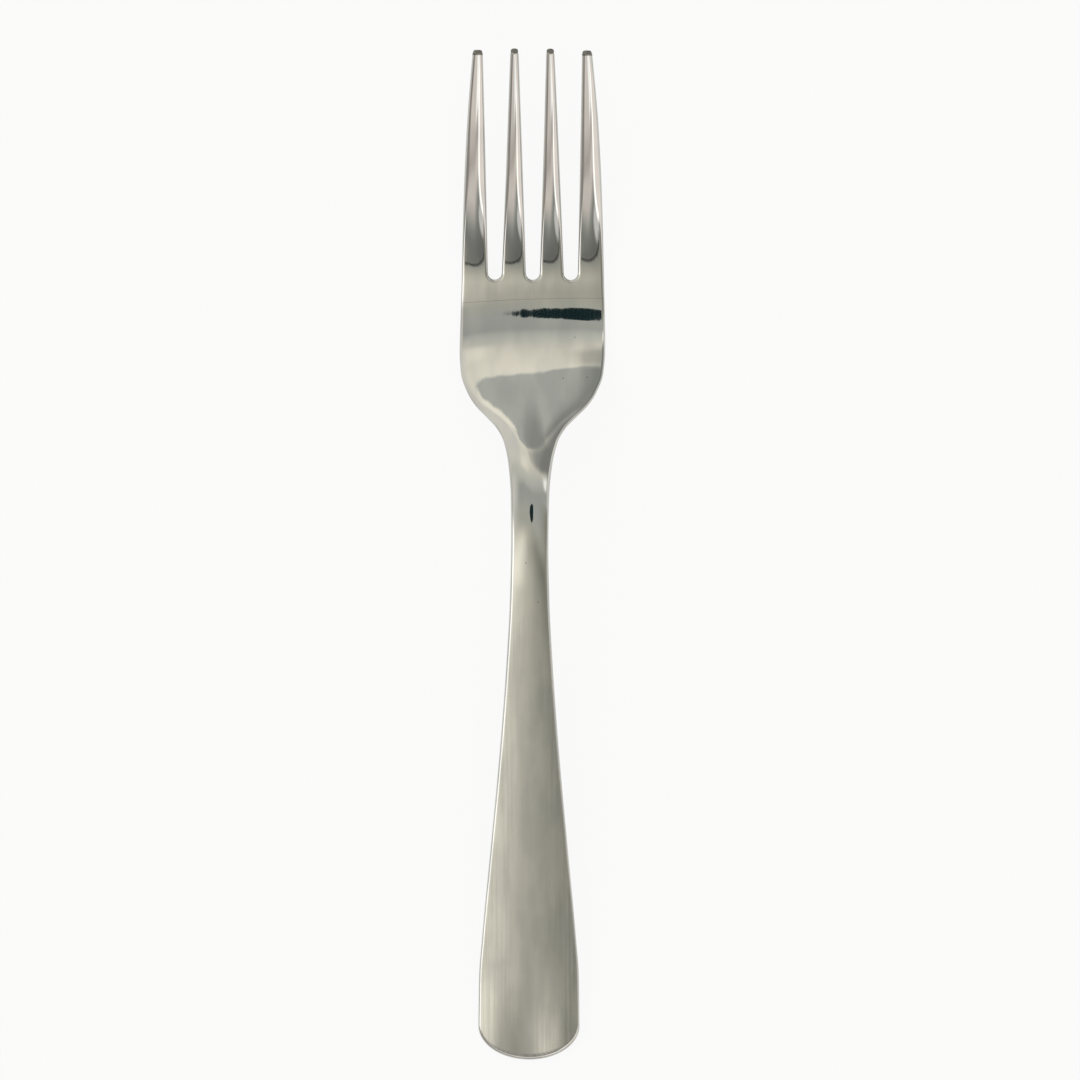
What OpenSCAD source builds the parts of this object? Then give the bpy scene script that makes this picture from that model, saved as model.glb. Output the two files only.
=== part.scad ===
// Dinner fork, pressed and polished from one piece of stainless sheet.
// It lies on a table with its tines up: +Y runs from the handle's end to the tines, +Z is up.
// The origin is under the middle of the fork, on the table.

/* [Overall] */
// Length from the handle's end to the tips, as seen from above
fork_l = 182; // [170:1:200]
// Length from the crest of the neck to the tips
head_l = 83.5; // [78:0.5:90]
// Depth of the slots between the tines, from the tips
tine_l = 41.6; // [36:0.2:46]

/* [Plan] */
// Widest part of the handle, near its end
handle_w = 18.2; // [15:0.1:22]
// Depth of the half ellipse that ends the handle
handle_end_l = 6.1; // [4:0.1:9]
// Narrowest part of the neck
neck_w = 6.7; // [5:0.1:9]
// Widest part of the head, at its shoulders
head_w = 26.2; // [24:0.1:29]
// Width over all four tines at their tips
tips_w = 21.4; // [20.5:0.1:25]
// Distance from the tine roots back to the widest part of the head
shoulder_l = 12.9; // [10:0.1:16]

/* [Tines] */
// Distance between neighbouring slots at their roots
slot_pitch = 6.85; // [6.4:0.05:7.4]
// Distance between neighbouring slots at the tips
tip_pitch = 6.45; // [6.2:0.05:7]
// Width of a slot at its rounded root
slot_root_w = 2.45; // [2:0.05:3]
// Width of a slot at the tips
slot_tip_w = 5; // [4.4:0.05:5.2]
// How far the two outer tines end short of the inner ones
outer_tine_short = 0.35; // [0:0.05:1]
// Length of the thinned bevel at each tip
tip_bevel_l = 0.9; // [0.6:0.1:2]
// How far each side of a tip is ground in along its bevel
tip_nip = 0.15; // [0:0.05:0.2]
// Depth of the rounding of each tip, seen from above
tip_round = 0.15; // [0.1:0.05:0.4]

/* [Thickness] */
// Thickness of the handle at its end
handle_t = 1.8; // [1.4:0.1:3]
// Thickness of the neck
neck_t = 2.3; // [1.8:0.1:3.5]
// Thickness of the palm
palm_t = 1.8; // [1.4:0.1:2.5]
// Thickness of a tine just before its tip bevel
tine_t = 1.4; // [1.2:0.05:2]
// Thickness of a tine at its very tip
tip_t = 0.8; // [0.6:0.05:1]

/* [Bends] */
// Height of the neck's underside above the table
arch_h = 13; // [9:0.5:18]
// Height of the tips' underside above the table
tip_rise = 13.4; // [9:0.1:17]
// Slope of the tines at the tips, in degrees
tip_angle = 24; // [18:1:30]
// Radius of the bend over the crest of the neck
crest_r = 55; // [45:1:70]
// Radius of the bend at the lowest line of the palm
palm_r = 34; // [30:1:45]
// Distance from the tine roots back to the lowest line of the palm
palm_low_l = 6.4; // [5:0.1:9]
// Length of the flat underneath on which the palm stands
rest_l = 4; // [3:0.5:5]

/* [Section] */
// Rise of the handle's top from its edges to its middle line, where it is widest
handle_crown = 0.35; // [0:0.05:0.6]
// Rise of the neck's top from its edges to its middle line
neck_crown = 0.35; // [0:0.05:0.7]
// Fall of the neck's underside to its middle line
neck_under_crown = 0.15; // [0:0.05:0.3]
// Rise of the palm's top from its edges to its middle line
palm_crown = 0.1; // [0:0.05:0.3]
// Rise of the shoulders' edges above their middle line
dish = 0.2; // [0:0.05:0.6]
// Fall of the shoulders' top over their rounded rims
rim_fall = 0.35; // [0:0.05:0.5]

/* [Hidden] */

// Shape shares, chosen by eye along each stretch
handle_edge_share = 0.28; // edge rounding, of the thickness, on the handle and palm
tine_edge_share = 0.4; // the same on the tines, which are rounder
tip_edge_share = 0.15; // the same at the cut tips
bevel_end_share = 0.5; // where the rounding has thinned out, along a tip's bevel
tine_crown_share = 0.22; // rise of a tine's top at its middle line, of its half width
handle_shares = [[0, 1], [0.1, 0.98], [0.18, 0.89], [0.38, 0.605], [0.51, 0.42],
                 [0.64, 0.255], [0.76, 0.13], [0.88, 0.035], [1, 0]];
shoulder_shares = [[0.24, 0.011], [0.41, 0.062], [0.53, 0.16], [0.6, 0.3], [0.66, 0.5],
                   [0.72, 0.705], [0.79, 0.857], [0.88, 0.968], [1, 1]];
tine_shares = [[0.2, 0.1], [0.5, 0.265], [0.75, 0.53], [1, 1]];
dish_shares = [[0, 0], [0.35, 0.12], [0.7, 1], [1, 0]];
rim_shares = [[0, 0], [0.2, 0.6], [0.45, 1], [0.68, 0.85], [0.85, 0.2], [1, 0]];
rim_power = 4; // how closely a rounded rim keeps to the edge
crown_fade_share = 0.5; // stretch over which a tine's crown grows, of its length
crown_end_share = 0.65; // where the neck's crown has faded out, between the crest and the tine roots
narrow_share = 0.066; // the narrowest place, behind the crest, of the head's length
tine_column_shares = [-1, -0.7, 0, 0.7, 1];

// Counts of rows along the fork and of steps across it
tines = 4;
end_rows = 4;
handle_rows = 10;
neck_rows = 5;
shoulder_rows = 14;
rest_rows = 2;
palm_rows = 1;
root_rows = 4;
tine_rows = 13;
slot_steps = 6;
round_steps = 3;

// Places along the fork
crest_y = fork_l - head_l;
narrow_y = crest_y - narrow_share * head_l;
root_y = fork_l - tine_l;
widest_y = root_y - shoulder_l;
palm_y = root_y - palm_low_l;
rest_start_y = palm_y - rest_l / 2;
rest_end_y = palm_y + rest_l / 2;
rest_cut = rest_l ^ 2 / (8 * palm_r);
tangent_y = root_y + slot_root_w / 2;
row_gap = slot_root_w;
end_row_y = handle_end_l + row_gap;
last_row_y = root_y - row_gap;
bevel_y = fork_l - tip_bevel_l;
crown_end_y = crest_y + crown_end_share * (root_y - crest_y);

// The handle's straight slope, and where it meets the bend over the neck
crest_reach = (crest_y - sqrt(crest_y ^ 2 - 8 / 3 * crest_r * arch_h)) / (4 / 3 * crest_r);
bend_y = crest_y - 2 * crest_reach * crest_r;

// A smooth curve through stations of [place, value, slope], with no overshoot between them
function grade(s, i) = (s[i + 1][1] - s[i][1]) / (s[i + 1][0] - s[i][0]);
function slope_at(s, i) =
    i == 0 ? grade(s, 0)
    : i == len(s) - 1 ? grade(s, i - 1)
    : let (a = grade(s, i - 1), b = grade(s, i)) a * b <= 0 ? 0 : 2 * a * b / (a + b);
function curve(s) = [for (i = [0 : len(s) - 1]) [s[i][0], s[i][1], slope_at(s, i)]];
function span_of(s, y, i = 0) = i >= len(s) - 2 || y <= s[i + 1][0] ? i : span_of(s, y, i + 1);
function along(s, y) =
    let (v = max(s[0][0], min(s[len(s) - 1][0], y)), i = span_of(s, v), a = s[i], b = s[i + 1])
    let (h = b[0] - a[0], t = (v - a[0]) / h, u = 1 - t)
    (1 + 2 * t) * u ^ 2 * a[1] + (1 + 2 * u) * t ^ 2 * b[1] + h * t * u * (u * a[2] - t * b[2]);
function lerp(a, b, t) = a + (b - a) * t;
function stretch(shares, y0, y1, v0, v1) =
    [for (s = shares) [lerp(y0, y1, s[0]), lerp(v0, v1, s[1])]];

// Half width of the fork, from the handle's end to the tips
outline = curve(concat(
    stretch(handle_shares, handle_end_l, narrow_y, neck_w / 2, handle_w / 2),
    stretch(shoulder_shares, narrow_y, widest_y, neck_w / 2, head_w / 2),
    stretch(tine_shares, widest_y, fork_l, head_w / 2, tips_w / 2)));
thicknesses = curve([[0, handle_t], [crest_y, neck_t], [palm_y, palm_t], [bevel_y, tine_t]]);
edge_shares = curve([[0, handle_edge_share], [root_y, handle_edge_share],
                     [lerp(root_y, bevel_y, crown_fade_share), tine_edge_share],
                     [bevel_y, tine_edge_share],
                     [lerp(bevel_y, fork_l, bevel_end_share), tip_edge_share], [fork_l, tip_edge_share]]);
bend_crown = 2 * handle_crown * along(outline, bend_y) / handle_w;
crowns = curve([[0, bend_crown], [bend_y, bend_crown], [crest_y, neck_crown],
                [crown_end_y, palm_crown], [root_y, palm_crown], [fork_l, 0]]);
under_crowns = curve([[0, 0], [bend_y, 0], [crest_y, neck_under_crown], [crown_end_y, 0], [fork_l, 0]]);
dishes = curve(concat(stretch(dish_shares, crest_y, rest_start_y, 0, dish), [[fork_l, 0]]));
rims = curve(concat(stretch(rim_shares, crest_y, root_y, 0, rim_fall), [[fork_l, 0]]));

function thickness(y) = along(thicknesses, y);
function edge_r(y) = along(edge_shares, y) * thickness(y);
function outline_slope(y) =
    let (d = edge_r(y)) (along(outline, y + d) - along(outline, y - d)) / (2 * d);
function inset_half(y) = along(outline, y) - edge_r(y) * sqrt(1 + outline_slope(y) ^ 2);

// Side profile of the underside: knots of [y, height, slope, curvature], joined by fifth-order curves
knots = [
    [0, 0, crest_reach, 0],
    [bend_y, crest_reach * bend_y, crest_reach, 0],
    [crest_y, arch_h, 0, -1 / crest_r],
    [palm_y, -rest_cut, 0, 1 / palm_r],
    [fork_l, tip_rise, tan(tip_angle), 0]];
function blend(a, b, y) =
    let (h = b[0] - a[0], t = (y - a[0]) / h)
    let (ease = t ^ 3 * (10 - 15 * t + 6 * t ^ 2))
    a[1] * (1 - ease) + b[1] * ease
    + h * a[2] * (t - 6 * t ^ 3 + 8 * t ^ 4 - 3 * t ^ 5) + h * b[2] * (7 * t ^ 4 - 4 * t ^ 3 - 3 * t ^ 5)
    + h ^ 2 * (a[3] * t ^ 2 * (1 - t) ^ 3 + b[3] * t ^ 3 * (1 - t) ^ 2) / 2;
function profile(y) = let (i = span_of(knots, y)) blend(knots[i], knots[i + 1], y);
function lean(y) =
    let (d = edge_r(y), s = (profile(y + d) - profile(y - d)) / (2 * d)) sqrt(1 + s ^ 2);

// Heights of the two faces over a plan point p: the handle's crown follows its width, and the underside
// is cut flat where it stands
function crown(y) = y < bend_y ? 2 * handle_crown * along(outline, y) / handle_w : along(crowns, y);
function across(p) = abs(p[0]) / along(outline, p[1]);
function under_z(p) =
    max(0, profile(p[1]) + (along(dishes, p[1]) + along(under_crowns, p[1])) * across(p) ^ 2);
function top_z(p) =
    profile(p[1]) + thickness(p[1]) * lean(p[1]) + (along(dishes, p[1]) - crown(p[1])) * across(p) ^ 2
    - along(rims, p[1]) * across(p) ^ rim_power - tine_fall(p) - bevel_fall(p[1]);

// Slots and tines, seen from above
function slot_gap(y) = lerp(slot_pitch, tip_pitch, (y - root_y) / tine_l);
function slot_x(i, y) = (i - tines / 2 + 1) * slot_gap(y);
function slot_half(y) = lerp(slot_root_w, slot_tip_w, (y - root_y) / tine_l) / 2;
function tine_start(t, y) = t == 0 ? -along(outline, y) : slot_x(t - 1, y) + slot_half(y);
function tine_end(t, y) = t == tines - 1 ? along(outline, y) : slot_x(t, y) - slot_half(y);
function nip(y) = tip_nip * max(0, y - bevel_y) / tip_bevel_l;
function tine_left(t, y) = nip(y) + (t == 0 ? -inset_half(y) : tine_start(t, y) + edge_r(y));
function tine_right(t, y) = (t == tines - 1 ? inset_half(y) : tine_end(t, y) - edge_r(y)) - nip(y);
function tine_point(t, y, c) = [lerp(tine_left(t, y), tine_right(t, y), (c + 1) / 2), y];
function tine_of(p) = max(0, min(tines - 1, floor(p[0] / slot_gap(p[1]) + tines / 2)));
function tine_fall(p) =
    let (y = p[1], fade = min(1, (y - tangent_y) / (crown_fade_share * tine_l))) fade <= 0 ? 0 :
    let (t = tine_of(p), left = tine_start(t, y), right = tine_end(t, y), half = (right - left) / 2)
    tine_crown_share * fade * (p[0] - (left + right) / 2) ^ 2 / half;
function bevel_fall(y) = max(0, y - bevel_y) * (tine_t - tip_t) / tip_bevel_l;
function tip_y(t) = fork_l - (t == 0 || t == tines - 1 ? outer_tine_short : 0) - edge_r(fork_l);
function tip_point(t, c) =
    tine_point(t, tip_y(t) - tip_round * (1 - sqrt(1 - c ^ 2)), c);

// The row of points that ends the palm: it runs up to each tine and round the root of each slot
function slot_arc(i) =
    let (r = slot_half(tangent_y) + edge_r(tangent_y))
    [for (k = [1 : slot_steps - 1]) let (a = 180 * k / slot_steps)
        [slot_x(i, tangent_y) - r * cos(a), tangent_y - r * sin(a)]];
function tine_root(t) = [for (c = tine_column_shares) tine_point(t, tangent_y, c)];
root_row = [for (t = [0 : tines - 1]) each concat(tine_root(t), t < tines - 1 ? slot_arc(t) : [])];
columns = len(root_row) - 1;
tine_columns = len(tine_column_shares) - 1;
column_gap = tine_columns + slot_steps;
head_shares = [for (p = root_row) p[0] / inset_half(tangent_y)];
end_angles = [for (j = [0 : columns]) lerp(-90, 90, j / columns)];
end_shares = [for (a = end_angles) sin(a)];

// Rows of plan points from the handle's end to the tine roots
function spread(y0, y1, n) = [for (i = [1 : n]) lerp(y0, y1, i / n)];
straight_rows = concat(
    spread(end_row_y, bend_y, handle_rows),
    spread(bend_y, crest_y, neck_rows),
    spread(crest_y, rest_start_y, shoulder_rows),
    spread(rest_start_y, rest_end_y, rest_rows),
    spread(rest_end_y, last_row_y, palm_rows));
function straight_row(y) =
    let (half = inset_half(y), t = (y - end_row_y) / (last_row_y - end_row_y))
    [for (x = lerp(end_shares, head_shares, t)) [half * x, y]];
end_arc =
    let (half = inset_half(handle_end_l), depth = handle_end_l - edge_r(0))
    [for (a = end_angles) [half * sin(a), handle_end_l - depth * cos(a)]];
end_row = straight_row(end_row_y);
palm_row = straight_row(last_row_y);
body_rows = concat(
    [for (i = [0 : end_rows - 1]) lerp(end_arc, end_row, i / end_rows)],
    [end_row],
    [for (y = straight_rows) straight_row(y)],
    [for (i = [1 : root_rows - 1]) lerp(palm_row, root_row, i / root_rows)],
    [root_row]);
last_row = len(body_rows) - 1;

// Rows of plan points along each tine, the first shared with the palm
function tine_grid(t) = concat(
    [[for (c = [0 : tine_columns]) root_row[t * column_gap + c]]],
    [for (y = spread(tangent_y, bevel_y, tine_rows))
        [for (c = tine_column_shares) tine_point(t, y, c)]],
    [[for (c = tine_column_shares) tip_point(t, c)]]);
tine_grids = [for (t = [0 : tines - 1]) tine_grid(t)];
tip_row = tine_rows + 1;

// The plan's border, counter-clockwise from the left of the handle's end
function tine_border(t) = let (g = tine_grids[t]) concat(
    [for (k = [1 : tip_row]) g[k][tine_columns]],
    [for (c = [tine_columns - 1 : -1 : 0]) g[tip_row][c]],
    [for (k = [tip_row - 1 : -1 : 0]) g[k][0]],
    t == 0 ? [] : [for (j = [1 : slot_steps]) root_row[t * column_gap - j]]);
border = concat(
    body_rows[0],
    [for (i = [1 : last_row]) body_rows[i][columns]],
    [for (t = [tines - 1 : -1 : 0]) each tine_border(t)],
    [for (i = [last_row - 1 : -1 : 1]) body_rows[i][0]]);
function unit(v) = v / norm(v);
function border_normal(i) =
    let (n = len(border), p = border[i])
    let (d = unit(unit(border[(i + 1) % n] - p) + unit(p - border[(i + n - 1) % n])))
    [d[1], -d[0]];

// Rounded edge all round the border, from the underside up to the top face
function edge_point(i, k) =
    let (p = border[i], r = edge_r(p[1]), top = k <= round_steps)
    let (a = 90 * (top ? k : 2 * round_steps + 1 - k) / round_steps, q = p + r * sin(a) * border_normal(i))
    [q[0], q[1], top ? top_z(q) - r * (1 - cos(a)) : under_z(q) + r * (1 - cos(a))];
edge_rows = [for (k = [2 * round_steps + 1 : -1 : 0])
    [for (i = [0 : len(border)]) edge_point(i % len(border), k)]];

// A face of the fork over rows of plan points
function top_of(rows) = [for (r = rows) [for (p = r) [p[0], p[1], top_z(p)]]];
function under_of(rows) = [for (r = rows) [for (i = [len(r) - 1 : -1 : 0]) [r[i][0], r[i][1], under_z(r[i])]]];
patches = concat(
    [top_of(body_rows), under_of(body_rows), edge_rows],
    [for (g = tine_grids) each [top_of(g), under_of(g)]]);

// Two triangles for each cell of a patch, seen clockwise from outside
function patch_faces(rows, first) =
    let (w = len(rows[0]))
    [for (i = [0 : len(rows) - 2]) for (j = [0 : w - 2])
        let (a = first + i * w + j)
        each [[a, a + w, a + w + 1], [a, a + w + 1, a + 1]]];
function first_point(n) = n == 0 ? 0 : first_point(n - 1) + len(patches[n - 1]) * len(patches[n - 1][0]);

module fork() {
    color("silver")
    translate([0, -fork_l / 2, 0])
    polyhedron(
        points = [for (p = patches) for (r = p) each r],
        faces = [for (n = [0 : len(patches) - 1]) each patch_faces(patches[n], first_point(n))]);
}

fork();
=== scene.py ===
import math

import bpy
import numpy as np
from mathutils import Matrix, Vector


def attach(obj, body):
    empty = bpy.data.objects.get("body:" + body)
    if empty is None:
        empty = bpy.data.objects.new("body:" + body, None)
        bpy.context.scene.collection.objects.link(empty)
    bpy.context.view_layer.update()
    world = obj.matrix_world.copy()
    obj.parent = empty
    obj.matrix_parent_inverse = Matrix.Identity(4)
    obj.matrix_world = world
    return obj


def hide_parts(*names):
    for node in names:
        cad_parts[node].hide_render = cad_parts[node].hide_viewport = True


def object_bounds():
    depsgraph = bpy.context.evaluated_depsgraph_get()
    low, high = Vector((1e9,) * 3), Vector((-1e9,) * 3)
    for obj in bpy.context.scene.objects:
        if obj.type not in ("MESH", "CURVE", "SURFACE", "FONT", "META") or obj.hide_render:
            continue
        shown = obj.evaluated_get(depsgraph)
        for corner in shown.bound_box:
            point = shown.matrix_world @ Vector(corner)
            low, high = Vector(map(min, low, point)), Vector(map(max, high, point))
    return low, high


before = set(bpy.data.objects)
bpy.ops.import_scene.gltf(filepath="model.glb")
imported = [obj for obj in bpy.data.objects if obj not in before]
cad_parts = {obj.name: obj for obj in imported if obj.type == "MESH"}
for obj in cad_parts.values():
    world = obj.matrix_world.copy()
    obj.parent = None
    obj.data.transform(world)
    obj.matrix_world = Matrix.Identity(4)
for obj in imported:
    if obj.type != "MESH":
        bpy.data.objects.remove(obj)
cad_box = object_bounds()

# The fork's driving sizes, in metres, as the part has them
MM = 0.001
LENGTH = 182 * MM
HEAD_LENGTH = 83.5 * MM
TINE_LENGTH = 41.6 * MM
HANDLE_WIDTH = 18.2 * MM
HANDLE_END = 6.1 * MM
NECK_WIDTH = 6.7 * MM
HEAD_WIDTH = 26.2 * MM
TIPS_WIDTH = 21.4 * MM
SHOULDER = 12.9 * MM
SLOT_PITCH = 6.85 * MM
TIP_PITCH = 6.45 * MM
SLOT_ROOT = 2.45 * MM
SLOT_TIP = 5 * MM
OUTER_SHORT = 0.35 * MM
TIP_BEVEL = 0.9 * MM
TIP_NIP = 0.15 * MM
TIP_ROUND = 0.15 * MM
HANDLE_THICK = 1.8 * MM
NECK_THICK = 2.3 * MM
PALM_THICK = 1.8 * MM
TINE_THICK = 1.4 * MM
TIP_THICK = 0.8 * MM
ARCH = 13 * MM
TIP_RISE = 13.4 * MM
TIP_ANGLE = math.radians(24)
CREST_RADIUS = 55 * MM
PALM_RADIUS = 34 * MM
PALM_LOW = 6.4 * MM
REST = 4 * MM
HANDLE_CROWN = 0.35 * MM
NECK_CROWN = 0.35 * MM
NECK_UNDER_CROWN = 0.15 * MM
PALM_CROWN = 0.1 * MM
DISH = 0.2 * MM
RIM_FALL = 0.35 * MM

# Shape shares along each stretch
HANDLE_EDGE_SHARE = 0.28
TINE_EDGE_SHARE = 0.4
TIP_EDGE_SHARE = 0.15
BEVEL_END_SHARE = 0.5
TINE_CROWN_SHARE = 0.22
CROWN_FADE_SHARE = 0.5
HANDLE_SHARES = [(0, 1), (0.1, 0.98), (0.18, 0.89), (0.38, 0.605), (0.51, 0.42),
                 (0.64, 0.255), (0.76, 0.13), (0.88, 0.035), (1, 0)]
SHOULDER_SHARES = [(0.24, 0.011), (0.41, 0.062), (0.53, 0.16), (0.6, 0.3), (0.66, 0.5),
                   (0.72, 0.705), (0.79, 0.857), (0.88, 0.968), (1, 1)]
TINE_SHARES = [(0.2, 0.1), (0.5, 0.265), (0.75, 0.53), (1, 1)]
DISH_SHARES = [(0, 0), (0.35, 0.12), (0.7, 1), (1, 0)]
RIM_SHARES = [(0, 0), (0.2, 0.6), (0.45, 1), (0.68, 0.85), (0.85, 0.2), (1, 0)]
RIM_POWER = 4
CROWN_END_SHARE = 0.65
NARROW_SHARE = 0.066

# Places along the fork, from the handle's end
CREST_Y = LENGTH - HEAD_LENGTH
NARROW_Y = CREST_Y - NARROW_SHARE * HEAD_LENGTH
ROOT_Y = LENGTH - TINE_LENGTH
WIDEST_Y = ROOT_Y - SHOULDER
PALM_Y = ROOT_Y - PALM_LOW
REST_START_Y = PALM_Y - REST / 2
BEVEL_Y = LENGTH - TIP_BEVEL
TANGENT_Y = ROOT_Y + SLOT_ROOT / 2
END_ROW_Y = HANDLE_END + SLOT_ROOT
LAST_ROW_Y = ROOT_Y - SLOT_ROOT
CROWN_END_Y = CREST_Y + CROWN_END_SHARE * (ROOT_Y - CREST_Y)

# Depth of the flat under the palm
REST_CUT = REST**2 / (8 * PALM_RADIUS)
# Length over which a tip's bevel starts
BEVEL_SOFT = 0.1 * MM
# Points closer than this are one point
WELD = 0.0001 * MM

# Mesh counts
TINES = 4
END_ROWS = 12
BODY_ROWS = 220
ROOT_ROWS = 12
TINE_ROWS = 70
TIP_ROWS = 14
SLOT_STEPS = 18
FACE_STEPS = 12
ROUND_STEPS = 6

# The photograph's frame: its pixels, a pixel's size on the fork, the pixel at the fork's middle,
# and how far the camera is rolled, tilted and away
FRAME_PIXELS = 1080
PIXEL = 0.18 * MM
CENTRE_PIXEL = (531.6, 554)
ROLL = math.radians(0.3)
TILT = math.radians(1.4)
CAMERA_DISTANCE = 1.0


class Curve:
    """A smooth curve through stations of (place, value), with no overshoot between them."""

    def __init__(self, stations):
        self.y, self.v = np.array(stations, float).T
        grades = np.diff(self.v) / np.diff(self.y)
        a, b = grades[:-1], grades[1:]
        same_way = a * b > 0
        inner = np.where(same_way, 2 * a * b / np.where(same_way, a + b, 1), 0)
        self.slope = np.concatenate([grades[:1], inner, grades[-1:]])

    def __call__(self, y):
        y = np.clip(y, self.y[0], self.y[-1])
        i = np.clip(np.searchsorted(self.y, y) - 1, 0, len(self.y) - 2)
        h = self.y[i + 1] - self.y[i]
        t = (y - self.y[i]) / h
        u = 1 - t
        ends = (1 + 2 * t) * u**2 * self.v[i] + (1 + 2 * u) * t**2 * self.v[i + 1]
        return ends + h * t * u * (u * self.slope[i] - t * self.slope[i + 1])


def lerp(a, b, t):
    return a + (b - a) * t


def stretch(shares, y0, y1, v0, v1):
    """Stations from y0 to y1, with values from v0 to v1, at the given shares of both."""
    return [(lerp(y0, y1, s), lerp(v0, v1, v)) for s, v in shares]


OUTLINE = Curve(
    stretch(HANDLE_SHARES, HANDLE_END, NARROW_Y, NECK_WIDTH / 2, HANDLE_WIDTH / 2)
    + stretch(SHOULDER_SHARES, NARROW_Y, WIDEST_Y, NECK_WIDTH / 2, HEAD_WIDTH / 2)
    + stretch(TINE_SHARES, WIDEST_Y, LENGTH, HEAD_WIDTH / 2, TIPS_WIDTH / 2))
THICKNESS = Curve([
    (0, HANDLE_THICK), (CREST_Y, NECK_THICK), (PALM_Y, PALM_THICK), (BEVEL_Y, TINE_THICK)])
EDGE_SHARES = Curve([
    (0, HANDLE_EDGE_SHARE), (ROOT_Y, HANDLE_EDGE_SHARE),
    (lerp(ROOT_Y, BEVEL_Y, CROWN_FADE_SHARE), TINE_EDGE_SHARE), (BEVEL_Y, TINE_EDGE_SHARE),
    (lerp(BEVEL_Y, LENGTH, BEVEL_END_SHARE), TIP_EDGE_SHARE), (LENGTH, TIP_EDGE_SHARE)])

# The handle's slope and the start of its bend to the crest, which give the crest its height and radius
CREST_REACH = (CREST_Y - math.sqrt(CREST_Y**2 - 8 / 3 * CREST_RADIUS * ARCH)) / (4 / 3 * CREST_RADIUS)
BEND_Y = CREST_Y - 2 * CREST_REACH * CREST_RADIUS
# Side profile of the underside: knots of (y, height, slope, curvature)
KNOTS = np.array([
    (0, 0, CREST_REACH, 0),
    (BEND_Y, CREST_REACH * BEND_Y, CREST_REACH, 0),
    (CREST_Y, ARCH, 0, -1 / CREST_RADIUS),
    (PALM_Y, -REST_CUT, 0, 1 / PALM_RADIUS),
    (LENGTH, TIP_RISE, math.tan(TIP_ANGLE), 0)])

# Crown of the top and of the underside, dish of both faces and fall of the rims, along the fork
CROWN_SLOPE = 2 * HANDLE_CROWN / HANDLE_WIDTH
BEND_CROWN = CROWN_SLOPE * OUTLINE(BEND_Y)
CROWNS = Curve([(0, BEND_CROWN), (BEND_Y, BEND_CROWN), (CREST_Y, NECK_CROWN),
                (CROWN_END_Y, PALM_CROWN), (ROOT_Y, PALM_CROWN), (LENGTH, 0)])
UNDER_CROWNS = Curve([(0, 0), (BEND_Y, 0), (CREST_Y, NECK_UNDER_CROWN), (CROWN_END_Y, 0), (LENGTH, 0)])
DISHES = Curve(stretch(DISH_SHARES, CREST_Y, REST_START_Y, 0, DISH) + [(LENGTH, 0)])
RIMS = Curve(stretch(RIM_SHARES, CREST_Y, ROOT_Y, 0, RIM_FALL) + [(LENGTH, 0)])


def edge_radius(y):
    return EDGE_SHARES(y) * THICKNESS(y)


def inset_half(y):
    """Half the width inside the rounded edges."""
    d = edge_radius(y)
    slope = (OUTLINE(y + d) - OUTLINE(y - d)) / (2 * d)
    return OUTLINE(y) - d * np.sqrt(1 + slope**2)


def profile(y):
    """Height of the underside's middle line, through the knots with their slopes and curvatures."""
    y = np.asarray(y, float)
    i = np.clip(np.searchsorted(KNOTS[:, 0], y) - 1, 0, len(KNOTS) - 2)
    a, b = KNOTS[i], KNOTS[i + 1]
    h = b[..., 0] - a[..., 0]
    t = (y - a[..., 0]) / h
    ease = t**3 * (10 - 15 * t + 6 * t**2)
    heights = a[..., 1] * (1 - ease) + b[..., 1] * ease
    slopes = a[..., 2] * (t - 6 * t**3 + 8 * t**4 - 3 * t**5) + b[..., 2] * (7 * t**4 - 4 * t**3 - 3 * t**5)
    bends = a[..., 3] * t**2 * (1 - t)**3 + b[..., 3] * t**3 * (1 - t)**2
    return heights + h * slopes + h**2 * bends / 2


def lean(y):
    """How much the thickness grows when it is measured upright on the slope."""
    d = edge_radius(y)
    return np.sqrt(1 + ((profile(y + d) - profile(y - d)) / (2 * d))**2)


def across(x, y):
    """Share of the way from the middle line to the edge."""
    return np.abs(x) / OUTLINE(y)


def under_height(p):
    x, y = p[..., 0], p[..., 1]
    return np.maximum(0, profile(y) + (DISHES(y) + UNDER_CROWNS(y)) * across(x, y)**2)


def crown(y):
    """The rise of the top's middle line, which follows the width on the handle."""
    return np.where(y < BEND_Y, CROWN_SLOPE * OUTLINE(y), CROWNS(y))


def top_height(p):
    x, y = p[..., 0], p[..., 1]
    plain = profile(y) + THICKNESS(y) * lean(y) + (DISHES(y) - crown(y)) * across(x, y)**2
    return plain - RIMS(y) * across(x, y)**RIM_POWER - tine_fall(x, y) - bevel_fall(y)


def slot_gap(y):
    return lerp(SLOT_PITCH, TIP_PITCH, (y - ROOT_Y) / TINE_LENGTH)


def slot_x(i, y):
    return (i - TINES / 2 + 1) * slot_gap(y)


def slot_half(y):
    return lerp(SLOT_ROOT, SLOT_TIP, (y - ROOT_Y) / TINE_LENGTH) / 2


def tine_start(t, y):
    return -OUTLINE(y) if t == 0 else slot_x(t - 1, y) + slot_half(y)


def tine_end(t, y):
    return OUTLINE(y) if t == TINES - 1 else slot_x(t, y) - slot_half(y)


def past_bevel(y):
    """How far a place is past the start of a tip's bevel, which starts with a small rounding."""
    d = y - BEVEL_Y
    return (d + np.sqrt(d**2 + BEVEL_SOFT**2)) / 2


def nip(y):
    """How far each side of a tip draws in."""
    return TIP_NIP / TIP_BEVEL * past_bevel(y)


def tine_left(t, y):
    return nip(y) + (-inset_half(y) if t == 0 else tine_start(t, y) + edge_radius(y))


def tine_right(t, y):
    return (inset_half(y) if t == TINES - 1 else tine_end(t, y) - edge_radius(y)) - nip(y)


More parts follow.
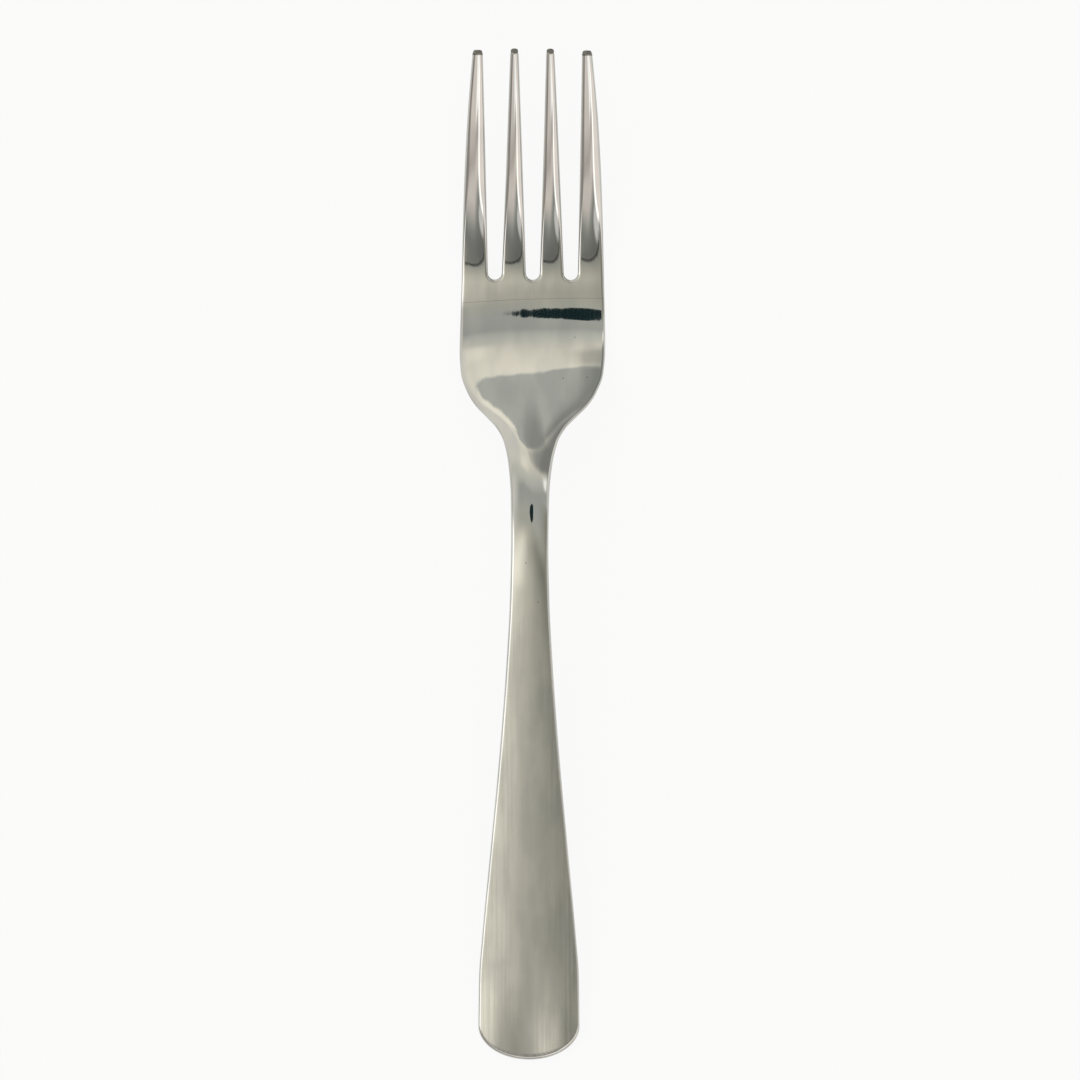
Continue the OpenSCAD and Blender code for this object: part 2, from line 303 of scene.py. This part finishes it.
def tine_fall(x, y):
    """How far a tine's top falls from its middle line to the point, for its crown."""
    fade = np.clip((y - TANGENT_Y) / (CROWN_FADE_SHARE * TINE_LENGTH), 0, 1)
    fade = fade * fade * (3 - 2 * fade)
    tine = np.clip(np.floor(x / slot_gap(y) + TINES / 2), 0, TINES - 1)
    fall = np.zeros(np.broadcast(x, y).shape)
    for t in range(TINES):
        left, right = tine_start(t, y), tine_end(t, y)
        half = (right - left) / 2
        fall = np.where(tine == t, (x - (left + right) / 2)**2 / half, fall)
    return TINE_CROWN_SHARE * fade * fall


def bevel_fall(y):
    return (TINE_THICK - TIP_THICK) / TIP_BEVEL * past_bevel(y)


def rows_of(xs, ys):
    return np.stack(np.broadcast_arrays(xs, ys), -1)


# Places across a tine, from -1 to 1, closer together near its sides
TINE_SPREAD = np.sin(np.linspace(-math.pi / 2, math.pi / 2, FACE_STEPS + 1))


def tine_points(t, y):
    """A row of points across a tine, with y a number or one value for each point."""
    return rows_of(lerp(tine_left(t, y), tine_right(t, y), (TINE_SPREAD + 1) / 2), y)


def slot_arc(i):
    r = slot_half(TANGENT_Y) + edge_radius(TANGENT_Y)
    a = np.linspace(0, math.pi, SLOT_STEPS + 1)[1:-1]
    return rows_of(slot_x(i, TANGENT_Y) - r * np.cos(a), TANGENT_Y - r * np.sin(a))


def plan_rows():
    """Rows of plan points from the handle's end to the roots of the tines."""
    root = []
    for t in range(TINES):
        root.append(tine_points(t, TANGENT_Y))
        if t < TINES - 1:
            root.append(slot_arc(t))
    root = np.concatenate(root)
    head_shares = root[:, 0] / inset_half(TANGENT_Y)
    angles = np.linspace(-math.pi / 2, math.pi / 2, len(root))
    end_shares = np.sin(angles)

    def straight(y):
        t = (y - END_ROW_Y) / (LAST_ROW_Y - END_ROW_Y)
        return rows_of(inset_half(y) * lerp(end_shares, head_shares, t), y)

    depth = HANDLE_END - edge_radius(0)
    arc = rows_of(inset_half(HANDLE_END) * end_shares, HANDLE_END - depth * np.cos(angles))
    first, last = straight(END_ROW_Y), straight(LAST_ROW_Y)
    rows = [lerp(arc, first, i / END_ROWS) for i in range(END_ROWS)]
    rows += [straight(y) for y in np.linspace(END_ROW_Y, LAST_ROW_Y, BODY_ROWS)]
    rows += [lerp(last, root, i / ROOT_ROWS) for i in range(1, ROOT_ROWS)]
    return np.array(rows + [root])


def tine_rows(t, root):
    """Rows of plan points along a tine, the first shared with the palm."""
    tip = LENGTH - (OUTER_SHORT if t in (0, TINES - 1) else 0) - edge_radius(LENGTH)
    rows = [root]
    last = BEVEL_Y - TIP_BEVEL / 2
    rows += [tine_points(t, y) for y in np.linspace(TANGENT_Y, last, TINE_ROWS + 1)[1:]]
    end = tip - TIP_ROUND * (1 - np.sqrt(1 - TINE_SPREAD**2))
    for i in range(1, TIP_ROWS + 1):
        rows.append(tine_points(t, lerp(last, end, i / TIP_ROWS)))
    return np.array(rows)


def plan_border(body, tines):
    """The plan's border, counter-clockwise from the left of the handle's end."""
    parts = [body[0], body[1:, -1]]
    for t in range(TINES - 1, -1, -1):
        g = tines[t]
        parts += [g[1:, -1], g[-1, -2::-1], g[-2::-1, 0]]
        if t > 0:
            first = t * (FACE_STEPS + SLOT_STEPS)
            parts.append(body[-1, first - 1:first - SLOT_STEPS - 1:-1])
    parts.append(body[-2:0:-1, 0])
    return np.concatenate(parts)


def edge_rows(border):
    """Rounded edge all round the border, from the underside up to the top face."""
    ahead = np.roll(border, -1, 0) - border
    ahead /= np.linalg.norm(ahead, axis=1)[:, None]
    along = ahead + np.roll(ahead, 1, 0)
    along /= np.linalg.norm(along, axis=1)[:, None]
    normal = np.stack([along[:, 1], -along[:, 0]], 1)
    r = edge_radius(border[:, 1])
    rows = []
    for angle in np.linspace(0, math.pi / 2, ROUND_STEPS + 1):
        q = border + (r * math.sin(angle))[:, None] * normal
        rows.append(np.column_stack([q, under_height(q) + r * (1 - math.cos(angle))]))
    for angle in np.linspace(math.pi / 2, 0, ROUND_STEPS + 1):
        q = border + (r * math.sin(angle))[:, None] * normal
        rows.append(np.column_stack([q, top_height(q) - r * (1 - math.cos(angle))]))
    rows = np.array(rows)
    return np.concatenate([rows, rows[:, :1]], 1)


def fork_mesh():
    body = plan_rows()
    tines = [tine_rows(t, body[-1, t * (FACE_STEPS + SLOT_STEPS):][:FACE_STEPS + 1]) for t in range(TINES)]
    patches = [edge_rows(plan_border(body, tines))]
    for rows in [body, *tines]:
        patches.append(np.dstack([rows, top_height(rows)]))
        back = rows[:, ::-1]
        patches.append(np.dstack([back, under_height(back)]))
    points, faces, first = [], [], 0
    for patch in patches:
        n, w = patch.shape[:2]
        i = first + np.arange(n - 1)[:, None] * w + np.arange(w - 1)
        faces.append(np.stack([i, i + 1, i + w + 1, i + w], -1).reshape(-1, 4))
        points.append(patch.reshape(-1, 3))
        first += n * w
    points = np.concatenate(points) - (0, LENGTH / 2, 0)
    places = np.round(points / WELD).astype(np.int64)
    _, first_seen, index = np.unique(places, axis=0, return_index=True, return_inverse=True)
    faces = index.reshape(-1)[np.concatenate(faces)]
    mesh = bpy.data.meshes.new("fork_steel")
    mesh.from_pydata(points[first_seen].tolist(), [], faces.tolist())
    mesh.validate()
    mesh.shade_smooth()
    return mesh


class Tree:
    """Short names for the nodes of one material or world."""

    def __init__(self, owner):
        owner.use_nodes = True
        self.tree = owner.node_tree
        self.tree.nodes.clear()

    def add(self, kind, settings=None, **inputs):
        node = self.tree.nodes.new(kind)
        for name, value in (settings or {}).items():
            setattr(node, name, value)
        for name, value in inputs.items():
            self.put(node.inputs[name.replace("_", " ")], value)
        return node

    def put(self, socket, value):
        if isinstance(value, bpy.types.NodeSocket):
            self.tree.links.new(value, socket)
        else:
            socket.default_value = value

    def maths(self, operation, *values):
        node = self.add("ShaderNodeMath", {"operation": operation})
        for socket, value in zip(node.inputs, values):
            self.put(socket, value)
        return node.outputs[0]

    def ramp(self, value, low, high, start=0.0, end=1.0):
        """A smooth step from start to end as value goes from low to high."""
        node = self.add("ShaderNodeMapRange", {"interpolation_type": "SMOOTHSTEP"}, Value=value)
        for name, number in (("From Min", low), ("From Max", high), ("To Min", start), ("To Max", end)):
            node.inputs[name].default_value = number
        return node.outputs["Result"]

    def stops(self, value, stops):
        """Brightness along a list of (degrees, brightness)."""
        low, high = stops[0][0], stops[-1][0]
        top = max(v for _, v in stops)
        share = self.add("ShaderNodeMapRange", Value=value)
        share.inputs["From Min"].default_value = low
        share.inputs["From Max"].default_value = high
        ramp = self.add("ShaderNodeValToRGB", Fac=share.outputs["Result"])
        elements = ramp.color_ramp.elements
        while len(elements) < len(stops):
            elements.new(0.5)
        for element, (degrees, v) in zip(elements, stops):
            element.position = (degrees - low) / (high - low)
            element.color = (v / top, v / top, v / top, 1)
        return self.maths("MULTIPLY", ramp.outputs["Color"], top)

    def mix(self, share, a, b):
        """The colour a, turned into the colour b as share goes from 0 to 1."""
        node = self.add("ShaderNodeMix", {"data_type": "RGBA"})
        for socket, value in zip([node.inputs[0], node.inputs[6], node.inputs[7]], (share, a, b)):
            self.put(socket, value)
        return node.outputs[2]


# Noise over the fork: cells a metre across, along and up, then its detail and the shift that sets it apart
STREAKS = ((2600, 45, 45), 3.0, 1.3)
WAVES = ((300, 70, 70), 1.0, 4.7)
CLOUDS = ((240, 100, 100), 2.0, 8.3)
GRAIN = ((1500, 1500, 1500), 2.0, 2.1)
# Heights of the polishing marks, of the wider waves on the handle and on the head, and of the grain
STREAK_HEIGHT = 0.0009 * MM
SATIN_WAVE_HEIGHT = 0.028 * MM
BRIGHT_WAVE_HEIGHT = 0.018 * MM
GRAIN_HEIGHT = 0.0006 * MM
# The steel's two tones, and the range of the cloud noise over which one turns into the other
STEEL_TONES = ((0.65, 0.64, 0.6, 1), (0.58, 0.575, 0.545, 1))
CLOUD_RANGE = (0.35, 0.65)
# The handle is satin and the head is bright, and the polish changes between these places along the fork.
# For the looks, such places are measured from the fork's middle.
SATIN_Y = -22 * MM
BRIGHT_Y = 2 * MM
SATIN_ROUGHNESS = 0.17
BRIGHT_ROUGHNESS = 0.035
# Over this range of their noise, the polishing marks vary the roughness between these factors
STREAK_RANGE = (0.3, 0.7)
STREAK_FACTORS = (0.8, 1.25)
# The ground face at the end of each tine is duller than the rest, and its darker tone is painted shade
TIP_FACE_ROUGHNESS = 0.3
TIP_FACE_SHADE_TONE = (0.22, 0.21, 0.19, 1)
TIP_FACE_Y = BEVEL_Y - LENGTH / 2
TIP_FACE_SOFT = 0.08 * MM
# A shallow hollow that polishing left near the handle's end
HOLLOW_DEPTH = 0.3 * MM
HOLLOW_HALF = 6.5 * MM
HOLLOW_Y = (-90 * MM, -74 * MM)
# A soft crease where the palm runs out on the neck: where its slant starts, in photograph pixels,
# how far it goes across for a length along the neck, its width and fall, and where it fades on the palm
CREASE = (518, 438)
CREASE_SLANT = 0.53
CREASE_WIDTH = 5 * MM
CREASE_FALL = 0.23 * MM
CREASE_FADE_Y = (22 * MM, 33 * MM)
# A slight twist of the palm: its height, its low left and high right, the places across where they
# are reached, and the places along the fork where it starts, is greatest and ends
TWIST_HEIGHT = 0.28 * MM
TWIST_SIDES = (-0.7, 0.3)
TWIST_X = (-8.5 * MM, 5.5 * MM)
TWIST_Y = (16 * MM, 27.5 * MM, 38 * MM)
# Small dark dots painted on the palm and the neck, in photograph pixels
DARK_DOTS = [(563, 378), (587, 377), (574, 337), (528, 563), (540, 602)]
DARK_DOT_RADIUS = 0.16 * MM
# A faint darker line painted across the palm: its highest place, in photograph pixels,
# how fast it falls to the sides, and half its width
FAINT_LINE = (590, 298)
FAINT_LINE_BEND = 0.0018 / MM
FAINT_LINE_HALF = 0.12 * MM
# The tone of the dark dots and of the line, and how much of it each takes
MARK_TONE = (0.16, 0.15, 0.13, 1)
DARK_DOT_SHARE = 0.7
FAINT_LINE_SHARE = 0.3


def on_fork(pixel):
    """The place across and along the fork that a photograph pixel shows."""
    return (pixel[0] - CENTRE_PIXEL[0]) * PIXEL, (CENTRE_PIXEL[1] - pixel[1]) * PIXEL


def noise(t, place, scale, detail, shift):
    moved = t.add("ShaderNodeMapping", Vector=place)
    moved.inputs["Scale"].default_value = scale
    moved.inputs["Location"].default_value = (shift, shift, 0)
    return t.add("ShaderNodeTexNoise", Vector=moved.outputs[0], Scale=1.0, Detail=detail).outputs["Fac"]


def dark_dot_mask(t, place):
    dark_dots = None
    for pixel in DARK_DOTS:
        away = t.add("ShaderNodeVectorMath", {"operation": "DISTANCE"})
        t.put(away.inputs[0], place)
        away.inputs[1].default_value = (*on_fork(pixel), 0)
        dark_dot = t.ramp(away.outputs["Value"], DARK_DOT_RADIUS / 2, DARK_DOT_RADIUS, 1, 0)
        dark_dots = dark_dot if dark_dots is None else t.maths("MAXIMUM", dark_dots, dark_dot)
    return dark_dots


def faint_line_mask(t, x, y):
    line_x, line_y = on_fork(FAINT_LINE)
    from_middle = t.maths("SUBTRACT", x, line_x)
    fall = t.maths("MULTIPLY", t.maths("MULTIPLY", from_middle, from_middle), FAINT_LINE_BEND)
    from_line = t.maths("ABSOLUTE", t.maths("SUBTRACT", t.maths("ADD", y, fall), line_y))
    return t.ramp(from_line, 0, FAINT_LINE_HALF, 1, 0)


def hollow_height(t, aside, y):
    return t.maths("MULTIPLY", t.ramp(aside, 0, HOLLOW_HALF), t.ramp(y, *HOLLOW_Y, 1, 0))


def crease_height(t, x, y):
    crease_x, crease_y = on_fork(CREASE)
    down_neck = t.maths("MINIMUM", t.maths("SUBTRACT", y, crease_y), 0.0)
    slant = t.maths("MULTIPLY", down_neck, CREASE_SLANT)
    past_crease = t.maths("ADD", t.maths("SUBTRACT", x, crease_x), slant)
    fallen = t.maths("MULTIPLY", t.ramp(past_crease, 0, CREASE_WIDTH), t.ramp(y, *CREASE_FADE_Y, 1, 0))
    return t.maths("SUBTRACT", 1.0, fallen)


def twist_height(t, x, y):
    start, greatest, end = TWIST_Y
    twist = t.maths("MULTIPLY", t.ramp(x, *TWIST_X, *TWIST_SIDES), t.ramp(y, start, greatest))
    return t.maths("MULTIPLY", twist, t.ramp(y, greatest, end, 1, 0))


def bumped(t, heights):
    """The surface's normal with each (height, size) laid on it in turn."""
    normal = None
    for height, size in heights:
        bump = t.add("ShaderNodeBump", Height=height, Distance=size, Strength=1.0)
        if normal is not None:
            t.put(bump.inputs["Normal"], normal)
        normal = bump.outputs[0]
    return normal


def steel_material():
    m = bpy.data.materials.new("polished_steel")
    t = Tree(m)
    place = t.add("ShaderNodeTexCoord").outputs["Object"]
    x, y, _ = t.add("ShaderNodeSeparateXYZ", Vector=place).outputs
    flat = t.add("ShaderNodeCombineXYZ", X=x, Y=y).outputs[0]
    aside = t.maths("ABSOLUTE", x)
    streaks, waves, clouds, grain = [noise(t, flat, *field) for field in (STREAKS, WAVES, CLOUDS, GRAIN)]

    wave_height = t.ramp(y, SATIN_Y, BRIGHT_Y, SATIN_WAVE_HEIGHT, BRIGHT_WAVE_HEIGHT)
    normal = bumped(t, [
        (hollow_height(t, aside, y), HOLLOW_DEPTH), (crease_height(t, x, y), CREASE_FALL),
        (twist_height(t, x, y), TWIST_HEIGHT), (waves, wave_height), (streaks, STREAK_HEIGHT),
        (grain, GRAIN_HEIGHT)])

    outer = t.ramp(aside, SLOT_PITCH, SLOT_PITCH + SLOT_TIP / 2, 0, OUTER_SHORT)
    tip_face = t.ramp(t.maths("ADD", y, outer), TIP_FACE_Y - TIP_FACE_SOFT, TIP_FACE_Y + TIP_FACE_SOFT)
    polish = t.ramp(y, SATIN_Y, BRIGHT_Y, SATIN_ROUGHNESS, BRIGHT_ROUGHNESS)
    roughness = t.maths("MULTIPLY", polish, t.ramp(streaks, *STREAK_RANGE, *STREAK_FACTORS))
    roughness = t.maths("MAXIMUM", roughness, t.maths("MULTIPLY", tip_face, TIP_FACE_ROUGHNESS))

    tone = t.mix(t.ramp(clouds, *CLOUD_RANGE), *STEEL_TONES)
    # Painted shade: the ground faces at the tips of the tines get a darker tone
    tone = t.mix(tip_face, tone, TIP_FACE_SHADE_TONE)
    # A darker tone is painted in small dots and along a faint line across the palm
    dark_dots = t.maths("MULTIPLY", dark_dot_mask(t, flat), DARK_DOT_SHARE)
    faint_line = t.maths("MULTIPLY", faint_line_mask(t, x, y), FAINT_LINE_SHARE)
    colour = t.mix(t.maths("MAXIMUM", dark_dots, faint_line), tone, MARK_TONE)

    shader = t.add("ShaderNodeBsdfPrincipled", Base_Color=colour, Roughness=roughness, Normal=normal,
                   Metallic=1.0)
    t.put(t.add("ShaderNodeOutputMaterial").inputs["Surface"], shader.outputs[0])
    return m


# The floor shows this share of plain white to the eye, and this share in the steel's reflections
FLOOR_WHITE = 0.9
FLOOR_REFLECTED_WHITE = 0.5
# Its own colour, its size, and how far it lies below the fork
FLOOR_COLOUR = (0.9, 0.9, 0.9, 1)
FLOOR_SIZE = 4.0
FLOOR_GAP = 0.02 * MM


def floor_material():
    m = bpy.data.materials.new("pale_floor")
    t = Tree(m)
    path = t.add("ShaderNodeLightPath").outputs
    mirrored = t.maths("MAXIMUM", path["Is Glossy Ray"], path["Is Transmission Ray"])
    share = t.maths("MAXIMUM", t.maths("MULTIPLY", path["Is Camera Ray"], FLOOR_WHITE),
                    t.maths("MULTIPLY", mirrored, FLOOR_REFLECTED_WHITE))
    mixed = t.add("ShaderNodeMixShader", Fac=share)
    t.put(mixed.inputs[1], t.add("ShaderNodeBsdfDiffuse", Color=FLOOR_COLOUR).outputs[0])
    t.put(mixed.inputs[2], t.add("ShaderNodeEmission", Strength=1.0).outputs[0])
    t.put(t.add("ShaderNodeOutputMaterial").inputs["Surface"], mixed.outputs[0])
    return m


def floor():
    s = FLOOR_SIZE / 2
    mesh = bpy.data.meshes.new("floor")
    mesh.from_pydata([(-s, -s, 0), (s, -s, 0), (s, s, 0), (-s, s, 0)], [], [(0, 1, 2, 3)])
    mesh.materials.append(floor_material())
    plane = bpy.data.objects.new("floor", mesh)
    bpy.context.scene.collection.objects.link(plane)
    plane.location.z = cad_box[0].z - FLOOR_GAP


# The studio is given in degrees from straight above. Along the fork, + is towards the tines,
# and across it, + is to the right. This is its brightness at places along the fork.
LENGTHWISE = [(-180, 0.4), (-90, 0.45), (-62, 0.7), (-50, 1.0), (-42, 0.85), (-36, 0.58), (-33.5, 0.82),
              (-30.5, 0.85), (-28.8, 0.66), (-27.3, 0.42), (-25.5, 0.3), (-23.7, 0.25), (-21, 0.2),
              (-19.4, 0.46), (-16, 0.68), (-12, 0.58), (-5, 0.56), (4, 0.52), (12, 0.5), (17, 0.62),
              (22, 0.7), (31, 0.82), (40, 0.94), (53.4, 1.05), (54.2, 0.6), (70, 0.57), (85, 0.6),
              (110, 0.45), (180, 0.4)]
# How far the lines of the studio turn with the place across, behind and in front of straight above:
# degrees a degree, and the places where the turn ends. One changes into the other over TURN_CHANGE.
TURN_BACK = (0.4, -4, 8)
TURN_FRONT = (0.8, -8, 1)
TURN_CHANGE = (-5, 5)
CREAM = (1, 0.965, 0.86, 1)
GREY = (0.97, 1, 0.95, 1)
OLIVE = (1, 0.985, 0.86, 1)
PINK = (1, 0.93, 0.89, 1)
MILK = (1, 0.985, 0.93, 1)
WHITE = (1, 1, 1, 1)
# The studio's tint far behind, and the tints that it turns into, each from one place to another
FIRST_TINT = PINK
LATER_TINTS = [(-30, -26, GREY), (-21, -18, OLIVE), (-10, 2, GREY), (10, 40, CREAM), (53, 55, GREY)]
# Panels: low and high edge along the fork and the softness there, the same across it, brightness and tint
PANELS = [
    ("handle_wash_left", -20.5, -9, 5, -70, -5.5, 5, 1.3, CREAM),
    ("handle_wash_right", -20, -7, 5, 2.5, 60, 5, 0.28, OLIVE),
    ("crest_wash_left", -12, 24, 6, -90, -19, 7, 0.85, MILK),
    ("neck_spark_right", 16, 28, 4, 20, 40, 4, 1.3, WHITE),
    ("cream_edge_right", 39, 54, 5, 0.2, 60, 1.7, 0.68, CREAM),
    ("cream_shade_right", 36, 56, 6, 5, 60, 4, 0.43, GREY),
    ("grey_shade_right", 55, 84, 2, 1.5, 60, 3.5, 0.36, GREY),
    ("neck_shade_right", 34, 78, 5, 12, 60, 5, 0.3, GREY),
    ("neck_ribbon_left", 30, 42, 4, -9, -3, 2, 1.05, CREAM),
    ("rim_wall_left", 36, 90, 8, -90, -8, 1.5, 0.86, MILK),
    ("rim_ribbon_left", 54, 90, 4, -8.8, -6.2, 0.5, 1.15, CREAM),
    ("tine_shade_left", -90, -23, 1, -90, -27, 5, 0.36, PINK),
    ("tine_window_right", -90, -22, 1.5, 12, 17.5, 3, 2, WHITE),
    ("tine_wall_right", -90, -22, 1.5, 18, 75, 2, 1.12, PINK),
    ("tine_tip_window", -90, -40, 1.5, 0, 12, 4, 1.5, WHITE),
    ("root_window_right", -25, -20.6, 1, 4.5, 12, 1.5, 0.8, WHITE),
    ("handle_wall_left", -30, -8, 4, -90, -36, 8, 1.9, WHITE),
    ("wall_right", -180, 180, 1, 66, 90, 6, 1.0, WHITE),
    ("crest_wash_right", -16, 4, 4, 14, 90, 6, 0.36, OLIVE),
    ("horizon_left", -180, 180, 1, -90, -77, 5, 0.5, GREY),
    ("horizon_right", -180, 180, 1, 79, 90, 5, 0.5, GREY),
    ("slot_root_shade", 100, 150, 10, -30, 30, 8, 0.12, WHITE),
    ("handle_end_shade", -160, -62, 6, -50, 50, 10, 0.35, OLIVE),
    ("dark_line", -20.6, -20, 0.25, -9, 6, 1.5, 0.06, WHITE),
]
# The dark shape straight above that the palm and the neck's crest show: its centre along and across, half
# its size along, half its size across and its roundness to the left and to the right, and its soft edge
LENS_CENTRE = (0.4, 0.6)
LENS_HALF = 4.1
LENS_LEFT = (2.7, 2)
LENS_RIGHT = (2.1, 5)
LENS_SOFT = 0.4
LENS_TINT = (0.012, 0.028, 0.032, 1)


def turned_along(t, along, v):
    """The degrees along the fork that the studio's lines follow, which turn with the degrees across."""
    turn = t.add("ShaderNodeMapRange", Value=t.ramp(along, *TURN_CHANGE))
    for side, (rate, low, high) in (("To Min", TURN_BACK), ("To Max", TURN_FRONT)):
        held = t.maths("MAXIMUM", t.maths("MINIMUM", v, high), low)
        t.put(turn.inputs[side], t.maths("MULTIPLY", held, rate))
    return t.maths("ADD", along, turn.outputs[0])


def studio_light(t, u):
    tint = FIRST_TINT
    for low, high, later in LATER_TINTS:
        tint = t.mix(t.ramp(u, low, high), tint, later)
    scaled = t.add("ShaderNodeVectorMath", {"operation": "SCALE"})
    t.put(scaled.inputs[0], tint)
    t.put(scaled.inputs["Scale"], t.stops(u, LENGTHWISE))
    return scaled.outputs[0]


def between(t, value, low, high, soft):
    rise = t.ramp(value, low - soft, low + soft)
    return t.maths("MULTIPLY", rise, t.ramp(value, high - soft, high + soft, 1, 0))


def with_panels(t, colour, u, v):
    for _, u_low, u_high, u_soft, v_low, v_high, v_soft, brightness, tint in PANELS:
        lengthwise = between(t, u, u_low, u_high, u_soft)
        mask = t.maths("MULTIPLY", lengthwise, between(t, v, v_low, v_high, v_soft))
        colour = t.mix(mask, colour, (*[brightness * c for c in tint[:3]], 1))
    return colour


def lens_mask(t, along, v):
    aside = t.maths("SUBTRACT", v, LENS_CENTRE[1])
    height = 1.0
    for side, (width, roundness) in ((-1, LENS_LEFT), (1, LENS_RIGHT)):
        share = t.maths("MINIMUM", t.maths("MAXIMUM", t.maths("DIVIDE", aside, side * width), 0.0), 1.0)
        height = t.maths("SUBTRACT", height, t.maths("POWER", share, roundness))
    away = t.maths("ABSOLUTE", t.maths("SUBTRACT", along, LENS_CENTRE[0]))
    inside = t.maths("SUBTRACT", t.maths("MULTIPLY", t.maths("SQRT", height), LENS_HALF), away)
    return t.ramp(inside, 0, LENS_SOFT)


def studio_world():
    """Soft panels round the fork, at u degrees along it and v across, which the camera sees as white."""
    world = bpy.data.worlds.new("studio")
    bpy.context.scene.world = world
    t = Tree(world)
    direction = t.add("ShaderNodeTexCoord").outputs["Generated"]
    x, y, z = t.add("ShaderNodeSeparateXYZ", Vector=direction).outputs
    v = t.maths("DEGREES", t.maths("ARCSINE", x))
    along = t.maths("DEGREES", t.maths("ARCTAN2", y, z))
    u = turned_along(t, along, v)
    colour = with_panels(t, studio_light(t, u), u, v)
    colour = t.mix(lens_mask(t, along, v), colour, LENS_TINT)
    mixed = t.add("ShaderNodeMixShader", Fac=t.add("ShaderNodeLightPath").outputs["Is Camera Ray"])
    t.put(mixed.inputs[1], t.add("ShaderNodeBackground", Color=colour).outputs[0])
    t.put(mixed.inputs[2], t.add("ShaderNodeBackground", Color=WHITE).outputs[0])
    t.put(t.add("ShaderNodeOutputWorld").inputs["Surface"], mixed.outputs[0])


def camera():
    """Looks straight down on the fork from slightly to its right, with the photograph's frame."""
    data = bpy.data.cameras.new("camera")
    data.type = "ORTHO"
    data.ortho_scale = FRAME_PIXELS * PIXEL
    cam = bpy.data.objects.new("camera", data)
    bpy.context.scene.collection.objects.link(cam)
    half = FRAME_PIXELS / 2
    turned = Matrix.Rotation(ROLL, 3, "Z") @ Matrix.Rotation(TILT, 3, "Y")
    offset = Vector(((half - CENTRE_PIXEL[0]) * PIXEL, (CENTRE_PIXEL[1] - half) * PIXEL, CAMERA_DISTANCE))
    cam.rotation_euler = turned.to_euler()
    cam.location = turned @ offset
    bpy.context.scene.camera = cam


def steel_fork():
    fork = bpy.data.objects.new("fork_steel", fork_mesh())
    bpy.context.scene.collection.objects.link(fork)
    fork.data.materials.append(steel_material())
    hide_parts("fork")
    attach(fork, "root")


camera()
steel_fork()
floor()
studio_world()
bpy.context.scene.view_settings.view_transform = "Standard"
